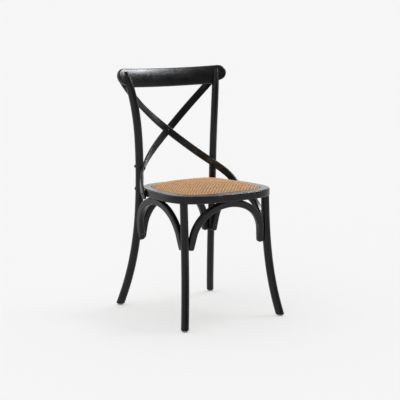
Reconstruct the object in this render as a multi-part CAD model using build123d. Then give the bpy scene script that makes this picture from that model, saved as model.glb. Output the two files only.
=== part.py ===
from build123d import *
from math import asin, cos, degrees, pi, radians, sin, tan
import os

# A cross-back dining chair of bent wood with a woven rattan seat, in millimetres.
# It faces -Y, +Z is up, and the origin lies on the floor under the middle of the chair.
# Pieces of the right side are drawn at +X, and the left side mirrors them.

# Feet: where the four limbs meet the floor
FOOT_DEPTH = 451.0
REAR_FOOT_WIDTH = 406.0
FRONT_FOOT_WIDTH = 411.0
FOOT_ROUND = 3.0
GLIDE_HEIGHT = 5.0
GLIDE_DIAMETER = 21.0
GLIDE_ROUND = 1.5
GLIDE_PIN_DIAMETER = 4.0
GLIDE_PIN_LENGTH = 16.0

# Rear posts: one bent limb each, closest together at the waist and furthest forward at the lean
POST_TOP_Z = 868.0
POST_WAIST_Z = 440.0
POST_WAIST_WIDTH = 320.0
POST_TOP_WIDTH = 394.0
POST_LEAN_Z = 550.0
POST_LEAN_Y = 150.0
POST_TOP_Y = 186.0
POST_FOOT_BEND = 2.4
POST_TOP_BEND = 2.8
POST_LONG = 30.0
POST_SHORT = 27.0
POST_TURN = 50.0
POST_TAPER = 88.0
POST_TIP_SHARE = 0.76

# Front legs
LEG_TOP_WIDTH = 346.0
LEG_TOP_Y = 166.5
LEG_RAKE = 0.055
LEG_BEND = 2.7
LEG_LONG = 30.0
LEG_SHORT = 28.0
LEG_TURN = 50.0
TENON_DIAMETER = 20.0
TENON_LENGTH = 18.0

# Seat ring: a tapered rounded square, a little lower at the back than at the front
SEAT_Z = 461.0
SEAT_FALL = 1.1
SEAT_HALF_WIDTH = 205.0
SEAT_HALF_DEPTH = 198.0
SEAT_CENTRE_Y = -30.0
SEAT_WIDTH_POWER = 3.4
SEAT_DEPTH_POWER = 3.2
SEAT_TAPER = 0.06
RING_HEIGHT = 28.0
RING_WIDTH = 49.0
RING_ROUND = 5.0
RABBET_INSET = 33.0
RABBET_DEPTH = 16.0

# Seat filling: a board on the ring's rabbet, a thin pad, and the woven cover over both
BOARD_THICKNESS = 8.0
COVER_THICKNESS = 3.0
CROWN = 24.0
CROWN_POWER = 2.2
CROWN_FLAT = 0.16

# Arches: four bent loops between the limbs, with ends that splay a little, under the seat ring
ARCH_FACE = 25.0
ARCH_DEPTH = 20.0
ARCH_ROUND = 5.0
ARCH_END_ROUND = 8.0
ARCH_FRONT_DROP = 190.0
ARCH_REAR_DROP = 203.0
ARCH_STRAIGHT = 50.0
ARCH_SPLAY = 9.0
ARCH_CROWN_TURN = 29.0
ARCH_FOOT_INSET = 7.0
ARCH_SCRIBE = 2.0
ARCH_PLANED = 2.0
FRONT_ARCH_INSET = 30.0
REAR_ARCH_INSET = 10.0
SIDE_ARCH_INSET = 18.0

# Top rail: bent to a shallow arc in a plane that leans back with the posts, with a crowned face
RAIL_LENGTH = 466.0
RAIL_HEIGHT = 68.0
RAIL_END_HEIGHT = 57.0
RAIL_END_RUN = 33.0
RAIL_THICKNESS = 18.0
RAIL_CROWN = 4.0
RAIL_BOW = 30.0
RAIL_LEAN = 14.4
RAIL_SET = 11.5
RAIL_DROP = 21.0
RAIL_ROUND = 5.0
RAIL_HOUSING = 3.0

# Braces: two flat strips that cross behind the posts and end on the sides of the seat ring
BRACE_WIDTH = 27.0
BRACE_THICKNESS = 8.6
BRACE_ROUND = 2.0
BRACE_TOP_X = 209.0
BRACE_TOP_UP = 6.0
BRACE_BELLY_X = 101.0
BRACE_BELLY_Y = 223.0
BRACE_BELLY_DROP = 137.0
BRACE_CROSS_Y = 212.0
BRACE_CROSS_DROP = 225.0
BRACE_POST_RISE = 62.5
BRACE_HOUSING = 4.5
BRACE_SIDE_Y = 82.0
BRACE_SIDE_RISE = 12.0
BRACE_FOOT_Y = 42.0
BRACE_FOOT_DROP = 35.0

# Fasteners
SCREW_DIAMETER = 4.0
SCREW_HEAD_DIAMETER = 8.0
SCREW_HEAD_HEIGHT = 2.4
BOLT_DIAMETER = 6.0
BOLT_HEAD_DIAMETER = 13.0
BOLT_HEAD_HEIGHT = 3.6
SOCKET_WIDTH = 5.0
SOCKET_DEPTH = 2.2
CROSS_LENGTH = 4.2
CROSS_WIDTH = 1.0
CROSS_DEPTH = 1.4
BARREL_NUT_DIAMETER = 10.0
BARREL_NUT_LENGTH = 14.0
CAP_NUT_DIAMETER = 12.0
CAP_NUT_HEIGHT = 6.0
HEAD_SINK = 1.2
RIVET_SINK = 0.3
LIMB_SCREW_REACH = 16.0
RING_SCREW_REACH = 14.0
RAIL_SCREW_REACH = 10.0
RAIL_SCREW_DROP = 17.0
SEAT_BOLT_REACH = 24.0
ARCH_SCREW_SPREAD = 64.0
ACROSS_SCREW_CLIMB = 12.0
ALONG_SCREW_CLIMB = 24.0
BRACE_SCREW_PLACES = (14.0, 36.0)
BOARD_SCREW_TURNS = (10, 70, 110, 170, 250, 290)

# Fits
FIT = 0.2
GLUE_GAP = 0.15
HOUSING_GAP = 0.4
LAP_GAP = 0.8
PAD_GAP = 0.3

# How many sections and points the bent shapes are drawn through
POST_SECTIONS = 9
LEG_SECTIONS = 7
ROOM_SECTIONS = 4
BRACE_SECTIONS = 19
OUTLINE_POINTS = 32

# Values that follow from the sizes above
STANDING = (Align.CENTER, Align.CENTER, Align.MIN)
HANGING = (Align.CENTER, Align.CENTER, Align.MAX)
FOOT_Z = GLIDE_HEIGHT
POST_TAPER_Z = POST_TOP_Z - POST_TAPER
SEAT_PLACE = Location((0, 0, SEAT_Z), (-SEAT_FALL, 0, 0))


def flare(height, waist, end, reach, power):
    """How far a bent limb has swung out: nothing at its waist, its full reach at its end."""
    share = (height - waist) / (end - waist)
    return reach * max(share, 0.0) ** power


def post_centre(z):
    """Middle of the right rear post at a height."""
    waist = POST_WAIST_WIDTH / 2
    out = flare(z, POST_WAIST_Z, 0, REAR_FOOT_WIDTH / 2 - waist, POST_FOOT_BEND)
    out += flare(z, POST_WAIST_Z, POST_TOP_Z, POST_TOP_WIDTH / 2 - waist, POST_TOP_BEND)
    back = flare(z, POST_LEAN_Z, 0, FOOT_DEPTH / 2 - POST_LEAN_Y, POST_FOOT_BEND)
    back += flare(z, POST_LEAN_Z, POST_TOP_Z, POST_TOP_Y - POST_LEAN_Y, POST_TOP_BEND)
    return Vector(waist + out, POST_LEAN_Y + back, z)


def seat_surface_z(y, depth=0.0):
    """Height of the seat ring's top face, or of a face at a depth below it, at a place along Y."""
    return SEAT_Z - y * tan(radians(SEAT_FALL)) - depth / cos(radians(SEAT_FALL))


LEG_TOP_Z = seat_surface_z(-LEG_TOP_Y, RING_HEIGHT)


def leg_centre(z):
    """Middle of the right front leg at a height."""
    top = LEG_TOP_WIDTH / 2
    rake = LEG_RAKE * (LEG_TOP_Z - z)
    reach = FOOT_DEPTH / 2 - LEG_TOP_Y - LEG_RAKE * LEG_TOP_Z
    x = top + flare(z, LEG_TOP_Z, 0, FRONT_FOOT_WIDTH / 2 - top, LEG_BEND)
    y = LEG_TOP_Y + rake + flare(z, LEG_TOP_Z, 0, reach, LEG_BEND)
    return Vector(x, -y, z)


def levels(low, high, count):
    """Evenly spaced heights from one to another."""
    return [low + (high - low) * step / (count - 1) for step in range(count)]


def limb(centre, heights, long, short, turn, share=lambda z: 1.0):
    """A bent limb of oval section through a row of heights, level at both ends."""
    sections = []
    for z in heights:
        rise = centre(z + 1) - centre(z - 1)
        stretch = rise.length / rise.Z
        oval = Ellipse(long / 2 * stretch * share(z), short / 2 * share(z))
        sections.append(Plane(centre(z)) * Rot(0, 0, turn) * oval)
    return loft(sections)


def post_share(z):
    """Share of its full section that a post keeps towards its tip."""
    over = max(z - POST_TAPER_Z, 0) / (POST_TOP_Z - POST_TAPER_Z)
    return 1 - (1 - POST_TIP_SHARE) * over ** 2


def post_limb(heights, gap=0.0):
    """The right post through a row of heights, or the room for it with a gap all round."""
    return limb(post_centre, heights, POST_LONG + 2 * gap, POST_SHORT + 2 * gap, POST_TURN, post_share)


def leg_limb(heights, gap=0.0):
    """The right front leg through a row of heights, or the room for it with a gap all round."""
    return limb(leg_centre, heights, LEG_LONG + 2 * gap, LEG_SHORT + 2 * gap, -LEG_TURN)


def seat_point(angle, inset=0.0):
    """A point of the seat outline, or of the outline drawn inwards from it, in the plane of the seat."""

    def rim(a):
        c, s = cos(a), sin(a)
        across = (1 if c > 0 else -1) * abs(c) ** (2 / SEAT_WIDTH_POWER)
        along = (1 if s > 0 else -1) * abs(s) ** (2 / SEAT_DEPTH_POWER)
        x = SEAT_HALF_WIDTH * across * (1 - SEAT_TAPER * along)
        return Vector(x, SEAT_CENTRE_Y + SEAT_HALF_DEPTH * along, 0)

    run = (rim(angle + 0.002) - rim(angle - 0.002)).normalized()
    return rim(angle) + Vector(-run.Y, run.X, 0) * inset


def seat_face(inset, share=1.0, z=0.0):
    """A flat face inside the seat outline, drawn inwards and then scaled towards the seat's middle."""
    middle = Vector(0, SEAT_CENTRE_Y, 0)
    points = []
    for step in range(OUTLINE_POINTS):
        point = seat_point(2 * pi * step / OUTLINE_POINTS, inset)
        points.append(middle + (point - middle) * share + Vector(0, 0, z))
    return make_face(Spline(*points, periodic=True))


def seat_side(y):
    """The right-hand point of the seat outline at a place from front to back, and its outward way."""
    low, high = -pi / 2, pi / 2
    for _ in range(40):
        middle = (low + high) / 2
        if seat_point(middle).Y < y:
            low = middle
        else:
            high = middle
    point = seat_point(low)
    return point, (point - seat_point(low, 1.0)).normalized()


def seat_prism(inset, low, high):
    """A flat slab inside the seat outline, between two levels from the seat plane."""
    return extrude(seat_face(inset, 1.0, low), high - low)


def seat_filling(inset, lower, base):
    """A crowned solid from a flat base, with its top lowered everywhere by a thickness."""
    layers = []
    for share in (1.0, 0.92, 0.8, 0.65, 0.5, 0.33, CROWN_FLAT):
        layers.append(seat_face(inset, share, CROWN * (1 - share ** CROWN_POWER) - lower))
    return loft(layers) + seat_prism(inset, base, -lower)


def above_underside(gap):
    """The space above the seat ring's underside, less a gap."""
    tall = 4 * RING_HEIGHT
    box = Box(3 * SEAT_HALF_WIDTH, 3 * SEAT_HALF_DEPTH, tall, align=STANDING)
    return SEAT_PLACE * Pos(0, 0, -RING_HEIGHT - gap) * box


def flipped(place):
    """A place or direction mirrored to the other side of the chair."""
    return Vector(-place.X, place.Y, place.Z)


class Fastener:
    """A round-headed screw or bolt: its head rises from the start, its shank runs the other way."""

    def __init__(self, start, direction, length, bolt=False, driven=True):
        self.start = start
        self.direction = direction
        self.length = length
        self.bolt = bolt
        self.driven = driven
        self.diameter = BOLT_DIAMETER if bolt else SCREW_DIAMETER
        self.head_diameter = BOLT_HEAD_DIAMETER if bolt else SCREW_HEAD_DIAMETER
        self.head_height = BOLT_HEAD_HEIGHT if bolt else SCREW_HEAD_HEIGHT
        self.place = Plane(origin=start, z_dir=direction)

    def other_side(self):
        """The same fastener on the other side of the chair."""
        return Fastener(flipped(self.start), flipped(self.direction), self.length, self.bolt)

    def body(self):
        """The fastener itself."""
        shank = Cylinder(self.diameter / 2, self.length, align=STANDING)
        head = dome_head(self.head_diameter, self.head_height)
        if self.driven:
            head = head - Pos(0, 0, -self.head_height) * self.recess()
        return self.place * (shank + head)

    def recess(self):
        """The space for the driver in the top of the head: a hexagon in a bolt, a cross in a screw."""
        if self.bolt:
            return extrude(RegularPolygon(SOCKET_WIDTH / 2, 6, major_radius=False), SOCKET_DEPTH, both=True)
        bar = Box(CROSS_LENGTH, CROSS_WIDTH, 2 * CROSS_DEPTH)
        return bar + Rot(0, 0, 90) * bar

    def bore(self):
        """The hole that the shank runs in, with a flat for the head to seat on."""
        hole = Cylinder(self.diameter / 2 + FIT, self.length + FIT, align=STANDING)
        flat = Cylinder(self.head_diameter / 2 + FIT, 2 * self.head_diameter, align=HANGING)
        return self.place * (hole + flat)


def dome_head(diameter, height):
    """A domed head that stands on the plane z = 0 and rises along -Z."""
    cap = Cylinder(diameter / 2, height, align=HANGING)
    return fillet(cap.faces().sort_by(Axis.Z)[0].edges(), height * 0.7)


def both_sides(shape):
    """A piece of the right side and its mirror on the left."""
    return [shape, mirror(shape, about=Plane.YZ)]


def glide(centre):
    """A nail-on glide under one foot."""
    disc = Cylinder(GLIDE_DIAMETER / 2, GLIDE_HEIGHT, align=STANDING)
    disc = fillet(disc.faces().sort_by(Axis.Z)[0].edges(), GLIDE_ROUND)
    pin = Cylinder(GLIDE_PIN_DIAMETER / 2, GLIDE_PIN_LENGTH, align=STANDING)
    foot = centre(FOOT_Z)
    return Pos(foot.X, foot.Y, 0) * (disc + Pos(0, 0, GLIDE_HEIGHT) * pin)


def glide_hole(centre):
    """The hole in a foot for its glide's pin."""
    foot = centre(FOOT_Z)
    hole = Cylinder(GLIDE_PIN_DIAMETER / 2 + FIT, 2 * GLIDE_PIN_LENGTH + FIT)
    return Pos(foot.X, foot.Y, FOOT_Z) * hole


# The rail's own frame: X along the chair's width, Y towards the back, Z up its leaning face
RAIL_PLANE = Plane(origin=(0, POST_TOP_Y - RAIL_SET, POST_TOP_Z - RAIL_DROP), x_dir=(1, 0, 0),
                   z_dir=(0, sin(radians(RAIL_LEAN)), cos(radians(RAIL_LEAN))))
RAIL_RADIUS = ((RAIL_LENGTH / 2) ** 2 + RAIL_BOW ** 2) / (2 * RAIL_BOW)
RAIL_FRONT_RADIUS = RAIL_RADIUS - RAIL_THICKNESS / 2
RAIL_BACK_RADIUS = RAIL_RADIUS + RAIL_THICKNESS / 2
RAIL_CROWN_RADIUS = ((RAIL_HEIGHT / 2) ** 2 + RAIL_CROWN ** 2) / (2 * RAIL_CROWN)


def rail_point(x, offset=0.0, up=0.0):
    """A point of the rail at a distance from the middle, off its middle layer towards the back and up."""
    radius = RAIL_RADIUS + offset
    y = (radius ** 2 - x ** 2) ** 0.5 - RAIL_RADIUS + RAIL_BOW
    return RAIL_PLANE.from_local_coords(Vector(x, y, up))


def rail_bend(profile):
    """A section, drawn at its distance from the rail's bending axis, bent round that axis."""
    bent = Pos(0, RAIL_BOW - RAIL_RADIUS, 0) * revolve(profile, Axis.Z)
    return bent & Pos(0, RAIL_BOW, 0) * Box(2 * RAIL_LENGTH, RAIL_RADIUS, 4 * RAIL_HEIGHT)


def rail_layer(front_radius, back_radius, height):
    """A bent slab between two radii about the rail's bending axis."""
    flat = Rectangle(back_radius - front_radius, height, align=(Align.MIN, Align.CENTER))
    return rail_bend(Plane.XZ * Pos(front_radius, 0) * flat)


def rail_outline():
    """The rail seen from the front: straight along its top, with ends that are less tall than its middle."""
    middle = SlotOverall(RAIL_LENGTH - 2 * RAIL_END_RUN, RAIL_HEIGHT)
    ends = Pos(0, (RAIL_HEIGHT - RAIL_END_HEIGHT) / 2) * SlotOverall(RAIL_LENGTH, RAIL_END_HEIGHT)
    return make_hull(middle.edges() + ends.edges())


def rail_body():
    """The top rail with its crowned face and rounded ends and edges, before its joints."""
    swell = Pos(RAIL_FRONT_RADIUS + RAIL_CROWN_RADIUS, 0) * Circle(RAIL_CROWN_RADIUS)
    board = Pos(RAIL_RADIUS, 0) * Rectangle(RAIL_THICKNESS, 1.5 * RAIL_HEIGHT)
    blank = extrude(Plane.XZ * rail_outline(), RAIL_RADIUS, both=True)
    rail = rail_bend(Plane.XZ * (board & swell)) & blank
    faces = rail.faces().sort_by(SortBy.AREA)[-2:]
    return RAIL_PLANE * fillet(faces.edges(), RAIL_ROUND)


def post_lap(gap=GLUE_GAP):
    """What a post loses at its top so that its front half lies in the rail's housing."""
    tall = 3 * RAIL_HEIGHT
    layer = rail_layer(RAIL_FRONT_RADIUS + RAIL_HOUSING - gap, RAIL_BACK_RADIUS + POST_LONG, tall)
    lift = Pos(0, 0, tall / 2 - RAIL_HEIGHT / 2 - gap)
    return RAIL_PLANE * lift * layer


# Waypoints of the brace from the upper right to the lower left, and the way its face looks at them
BRACE_POST = post_centre(SEAT_Z + BRACE_POST_RISE)
TOP_FACING = Vector(0, -1, -0.15)
BELLY_FACING = Vector(-0.45, -1, 0.6)
CROSS_FACING = Vector(0, -0.96, 0.12)
POST_FACING = Vector(0.87, -0.84, -0.24).normalized()
CROSS_PLACE = Vector(0, BRACE_CROSS_Y, POST_TOP_Z - BRACE_CROSS_DROP)
RIVET_HALF = BRACE_THICKNESS / 2 - RIVET_SINK
BRACE_AT_TOP, BRACE_AT_CROSS, BRACE_AT_POST, BRACE_AT_SIDE = 0, 2, 3, 4
BRACE_POST_OFFSET = POST_LONG / 2 + BRACE_THICKNESS / 2 - BRACE_HOUSING


def brace_waypoints():
    """Waypoints of a brace and its facing directions, from its upper end to its foot."""
    off = BRACE_THICKNESS / 2 + GLUE_GAP
    top = rail_point(BRACE_TOP_X, RAIL_THICKNESS / 2 + off, BRACE_TOP_UP)
    belly = Vector(BRACE_BELLY_X, BRACE_BELLY_Y, POST_TOP_Z - BRACE_BELLY_DROP)
    places = [top, belly, CROSS_PLACE, flipped(BRACE_POST) + POST_FACING * BRACE_POST_OFFSET]
    facings = [TOP_FACING, BELLY_FACING, CROSS_FACING, POST_FACING]
    for y, rise in ((BRACE_SIDE_Y, BRACE_SIDE_RISE), (BRACE_FOOT_Y, -BRACE_FOOT_DROP)):
        rim, outward = seat_side(y)
        place = rim + outward * off
        places.append(Vector(-place.X, place.Y, SEAT_Z + rise))
        facings.append(Vector(outward.X, -outward.Y, 0))
    return places, facings


class Brace:
    """The bent and twisted strip that runs from the upper right to the lower left."""

    def __init__(self):
        self.places, self.facings = brace_waypoints()
        self.path = Spline(*self.places)
        self.marks = [self.path.param_at_point(place) for place in self.places]

    def frame(self, share):
        """The plane across the strip at a share of its length, with X across its width."""
        index = max(i for i in range(len(self.marks) - 1) if self.marks[i] <= share + 1e-6)
        blend = (share - self.marks[index]) / (self.marks[index + 1] - self.marks[index])
        guide = self.facings[index] * (1 - blend) + self.facings[index + 1] * blend
        run = self.path.tangent_at(share)
        return Plane(origin=self.path.position_at(share), x_dir=run.cross(guide).normalized(), z_dir=run)

    def facing(self, share):
        """The way that the strip's front face looks at a share of its length."""
        return self.frame(share).y_dir * -1

    def strip(self, shares, gap=0.0):
        """The strip through a row of shares of its length, rounded at its foot, with a gap all round."""
        tip = self.tip()
        sections = []
        for share in shares:
            over = max(share - 1 + tip, 0) / tip
            width = BRACE_WIDTH * (1 - over ** 2) ** 0.5
            outline = RectangleRounded(width + 2 * gap, BRACE_THICKNESS + 2 * gap, BRACE_ROUND)
            sections.append(self.frame(share) * outline)
        return loft(sections)

    def tip(self):
        """The share of the length over which the foot rounds off."""
        return BRACE_WIDTH / 2 / self.path.length

    def body(self):
        """The whole strip before its joints."""
        shares = [step / (BRACE_SECTIONS - 1) * (1 - self.tip()) for step in range(BRACE_SECTIONS)]
        return self.strip(shares + [1 - self.tip() * (1 - sin(radians(turn))) for turn in (30, 55, 75)])

    def room(self, mark, reach, gap):
        """Room for the strip on both sides of a waypoint, over a reach along its length."""
        middle = self.marks[mark]
        span = reach / self.path.length
        first, last = max(middle - span, 0), min(middle + span, 1 - self.tip())
        return self.strip([first + (last - first) * step / 6 for step in range(7)], gap)


def lap_notch(brace, front):
    """The notch at the crossing, half as deep as the strip, that takes the other brace in front or behind."""
    facing = CROSS_FACING.normalized()
    run = brace.path.tangent_at(brace.marks[BRACE_AT_CROSS])
    run = run - facing * run.dot(facing)
    if front:
        place = Plane(origin=CROSS_PLACE, x_dir=flipped(run), z_dir=facing)
    else:
        place = Plane(origin=CROSS_PLACE, x_dir=run, z_dir=facing * -1)
    slot = Box(3 * BRACE_WIDTH, BRACE_WIDTH + 2 * LAP_GAP, BRACE_THICKNESS, align=STANDING)
    return place * Pos(0, 0, -GLUE_GAP / 2) * slot


class Arch:
    """One bent loop between two limbs, in a plane: straight ends, round corners and a flatter crown."""

    def __init__(self, first, second, crown, screw_climb):
        self.screw_climb = screw_climb
        middle = (first + second) * 0.5
        self.along = (first - second).normalized()
        rise = crown - middle
        rise = rise - self.along * rise.dot(self.along)
        self.up = rise.normalized()
        self.plane = Plane(origin=middle, x_dir=self.along, z_dir=self.along.cross(self.up))
        self.half = (first - second).length / 2
        self.outward = Vector(cos(radians(ARCH_SPLAY)), sin(radians(ARCH_SPLAY)), 0)
        hip = self.end_point(ARCH_STRAIGHT, 0)
        across, upright = sin(radians(ARCH_CROWN_TURN)), cos(radians(ARCH_CROWN_TURN))
        flat = (1 - upright) / across
        spare = rise.length - hip.Y - flat * hip.X
        self.corner_radius = spare / (upright - self.outward.Y - flat * (self.outward.X - across))
        self.crown_radius = (hip.X - self.corner_radius * (self.outward.X - across)) / across
        self.corner_centre = hip - self.outward * self.corner_radius
        self.crown_centre = Vector(0, rise.length - self.crown_radius, 0)

    def end_point(self, climb, offset, side=1):
        """A point of a straight end, at a climb from its foot, drawn outwards by an offset."""
        inwards = Vector(-self.outward.Y, self.outward.X, 0)
        point = Vector(self.half, 0, 0) + inwards * climb + self.outward * offset
        return Vector(side * point.X, point.Y, 0)

    def round_point(self, turn, offset, side=1):
        """A point of the loop's round part, at a turn from straight up, drawn outwards by an offset."""
        crown = turn <= ARCH_CROWN_TURN
        centre = self.crown_centre if crown else self.corner_centre
        radius = (self.crown_radius if crown else self.corner_radius) + offset
        point = centre + Vector(sin(radians(turn)), cos(radians(turn)), 0) * radius
        return Vector(side * point.X, point.Y, 0)

    def border(self, offset):
        """The loop's line drawn outwards by an offset, from its first end to its second."""
        corner = (90 - ARCH_SPLAY + ARCH_CROWN_TURN) / 2
        lines = []
        for side in (1, -1):
            foot, hip = [self.end_point(climb, offset, side) for climb in (0, ARCH_STRAIGHT)]
            knee, shoulder = [self.round_point(turn, offset, side) for turn in (corner, ARCH_CROWN_TURN)]
            lines += [Line(foot, hip), ThreePointArc(hip, knee, shoulder)]
        ends = [self.round_point(ARCH_CROWN_TURN, offset, side) for side in (1, -1)]
        lines.append(ThreePointArc(ends[0], self.round_point(0, offset), ends[1]))
        return lines

    def limb_screw(self, side):
        """The screw through a straight end of the loop into the leg or post beside it."""
        head, tip = [self.plane.from_local_coords(self.end_point(self.screw_climb, offset, side))
                     for offset in (HEAD_SINK - ARCH_FACE / 2, ARCH_FACE / 2 + LIMB_SCREW_REACH)]
        return Fastener(head, (tip - head).normalized(), (tip - head).length)

    def ring_screw(self, side):
        """A screw up through the crown of the loop into the seat ring."""
        turn = degrees(asin(ARCH_SCREW_SPREAD / 2 / self.crown_radius))
        start = self.plane.from_local_coords(self.round_point(turn, HEAD_SINK - ARCH_FACE / 2, side))
        return Fastener(start, self.up, ARCH_FACE - HEAD_SINK + RING_SCREW_REACH)

    def body(self):
        """The bent strip with its rounded edges, before its joints."""
        lines = self.border(ARCH_FACE / 2) + self.border(-ARCH_FACE / 2)
        for side in (1, -1):
            outer, inner = [self.end_point(0, offset, side) for offset in (ARCH_FACE / 2, -ARCH_FACE / 2)]
            lines.append(Line(outer, inner))
        strip = extrude(make_face(lines), ARCH_DEPTH / 2, both=True)
        corners = strip.faces().sort_by(Axis.Y)[:2].edges().filter_by(Axis.Z)
        strip = fillet(corners, ARCH_END_ROUND)
        rims = strip.faces().filter_by(Axis.Z).edges()
        return self.plane * fillet(rims, ARCH_ROUND)


def make_arches():
    """The four loops, with their ends against the limbs and their crowns under the seat ring."""
    leg = leg_centre(SEAT_Z - ARCH_FRONT_DROP)
    post = post_centre(SEAT_Z - ARCH_REAR_DROP)
    leg_reach = (LEG_LONG + LEG_SHORT) / 4 + ARCH_FACE / 2 - ARCH_SCRIBE
    post_reach = (POST_LONG + POST_SHORT) / 4 + ARCH_FACE / 2 - ARCH_SCRIBE

    def crown(x, y):
        return Vector(x, y, seat_surface_z(y, RING_HEIGHT) - ARCH_FACE / 2 + ARCH_PLANED)

    front = Vector(leg.X - leg_reach, leg.Y + ARCH_FOOT_INSET, leg.Z)
    front_crown = crown(0, SEAT_CENTRE_Y - SEAT_HALF_DEPTH + FRONT_ARCH_INSET)
    rear = Vector(post.X - post_reach, post.Y, post.Z)
    rear_crown = crown(0, SEAT_CENTRE_Y + SEAT_HALF_DEPTH - REAR_ARCH_INSET)
    side_first = Vector(post.X - ARCH_FOOT_INSET, post.Y - post_reach, post.Z)
    side_second = Vector(leg.X - ARCH_FOOT_INSET, leg.Y + leg_reach, leg.Z)
    side_y = (side_first.Y + side_second.Y) / 2
    side_crown = crown(seat_side(side_y)[0].X - SIDE_ARCH_INSET, side_y)
    return {
        "arch_front": Arch(front, flipped(front), front_crown, ACROSS_SCREW_CLIMB),
        "arch_rear": Arch(rear, flipped(rear), rear_crown, ACROSS_SCREW_CLIMB),
        "arch_right": Arch(side_first, side_second, side_crown, ALONG_SCREW_CLIMB),
        "arch_left": Arch(flipped(side_first), flipped(side_second), flipped(side_crown), ALONG_SCREW_CLIMB),
    }


# The limbs that each arch's first and second ends are screwed to
ARCH_LIMBS = {
    "arch_front": ("front_leg_right", "front_leg_left"),
    "arch_rear": ("rear_post_right", "rear_post_left"),
    "arch_right": ("rear_post_right", "front_leg_right"),
    "arch_left": ("rear_post_left", "front_leg_left"),
}


def post_bolt():
    """The bolt that draws the right post against the corner of the seat ring."""
    height = seat_surface_z(POST_LEAN_Y, RING_HEIGHT / 2)
    outward = Vector(cos(radians(POST_TURN)), sin(radians(POST_TURN)), 0)
    start = post_centre(height) + outward * (POST_LONG / 2 - HEAD_SINK)
    return Fastener(start, outward * -1, POST_LONG - HEAD_SINK + SEAT_BOLT_REACH, bolt=True)


def barrel_nut(bolt, gap=0.0):
    """The upright nut in the ring for a post bolt, or the hole for it from the ring's underside."""
    middle = bolt.start + bolt.direction * (bolt.length - BARREL_NUT_DIAMETER / 2)
    radius = BARREL_NUT_DIAMETER / 2 + gap
    if gap:
        hole = Cylinder(radius, 2 * RING_HEIGHT, align=HANGING)
        return Pos(middle.X, middle.Y, middle.Z + BARREL_NUT_LENGTH / 2 + gap) * hole
    return Pos(middle.X, middle.Y, middle.Z) * Cylinder(radius, BARREL_NUT_LENGTH) - bolt.bore()


def brace_bolt():
    """The bolt through the foot of the brace and the right post."""
    facing = flipped(POST_FACING)
    start = BRACE_POST + facing * (BRACE_POST_OFFSET + BRACE_THICKNESS / 2)
    length = BRACE_POST_OFFSET + BRACE_THICKNESS / 2 + POST_LONG / 2 - HEAD_SINK + CAP_NUT_HEIGHT / 2
    return Fastener(start, facing * -1, length, bolt=True)


def cap_nut_place():
    """Where the cap nut of the right brace bolt seats on the back of the post, -Z outwards."""
    facing = flipped(POST_FACING)
    return Plane(origin=BRACE_POST - facing * (POST_LONG / 2 - HEAD_SINK), z_dir=facing)


def cap_nut():
    """The domed nut of the right brace bolt."""
    return cap_nut_place() * dome_head(CAP_NUT_DIAMETER, CAP_NUT_HEIGHT) - brace_bolt().bore()


def cap_nut_seat():
    """The flat on the back of the post under the cap nut."""
    flat = Cylinder(CAP_NUT_DIAMETER / 2 + FIT, CAP_NUT_DIAMETER, align=HANGING)
    return cap_nut_place() * flat


def rail_screw():
    """The screw through the front of the right post's tip into the rail."""
    back = RAIL_PLANE.y_dir
    height = POST_TOP_Z - RAIL_SCREW_DROP
    middle = post_centre(height)
    half = post_share(height) * (POST_LONG + POST_SHORT) / 4
    start = middle - back * (half - HEAD_SINK)
    floor = rail_point(middle.X, RAIL_HOUSING - RAIL_THICKNESS / 2)
    return Fastener(start, back, (floor - start).dot(back) + RAIL_SCREW_REACH)


def brace_rail_screws(brace):
    """The screws through the upper end of the brace into the back of the rail."""
    screws = []
    for distance in BRACE_SCREW_PLACES:
        share = distance / brace.path.length
        facing = brace.facing(share)
        start = brace.path.position_at(share) - facing * (BRACE_THICKNESS / 2)
        screws.append(Fastener(start, facing, BRACE_THICKNESS + RAIL_SCREW_REACH))
    return screws


def brace_foot_screw(brace):
    """The screw through the foot of the brace into the side of the seat ring."""
    share = 1 - BRACE_WIDTH * 0.75 / brace.path.length
    facing = brace.facing(share)
    start = brace.path.position_at(share) - facing * (BRACE_THICKNESS / 2)
    return Fastener(start, facing, BRACE_THICKNESS + RING_SCREW_REACH)


def board_screws():
    """The screws up through the ring's ledge into the seat board."""
    screws = []
    length = RING_HEIGHT - RABBET_DEPTH + BOARD_THICKNESS * 0.7
    for turn in BOARD_SCREW_TURNS:
        point = seat_point(radians(turn), (RABBET_INSET + COVER_THICKNESS + RING_WIDTH) / 2)
        start = SEAT_PLACE * Pos(point.X, point.Y, -RING_HEIGHT)
        up = (SEAT_PLACE * Pos(0, 0, 1)).position - SEAT_PLACE.position
        screws.append(Fastener(start.position, up, length))
    return screws


def ring_body():
    """The seat ring with its rabbet and rounded edges, before its joints."""
    ring = seat_prism(0, -RING_HEIGHT, 0) - seat_prism(RING_WIDTH, -RING_HEIGHT, 0)
    ring = ring - seat_prism(RABBET_INSET, -RABBET_DEPTH, 0)
    rims = [ring.edges().group_by(Axis.Z)[level].sort_by(SortBy.LENGTH)[-1] for level in (0, -1)]
    return SEAT_PLACE * fillet(rims, RING_ROUND)


def tenon(gap=0.0):
    """The round tenon on top of the right front leg, or the hole for it."""
    length = TENON_LENGTH + TENON_DIAMETER + gap
    stub = Cylinder(TENON_DIAMETER / 2 + gap, length, align=HANGING)
    return SEAT_PLACE * Pos(LEG_TOP_WIDTH / 2, -LEG_TOP_Y, TENON_LENGTH - RING_HEIGHT + gap) * stub


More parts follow.
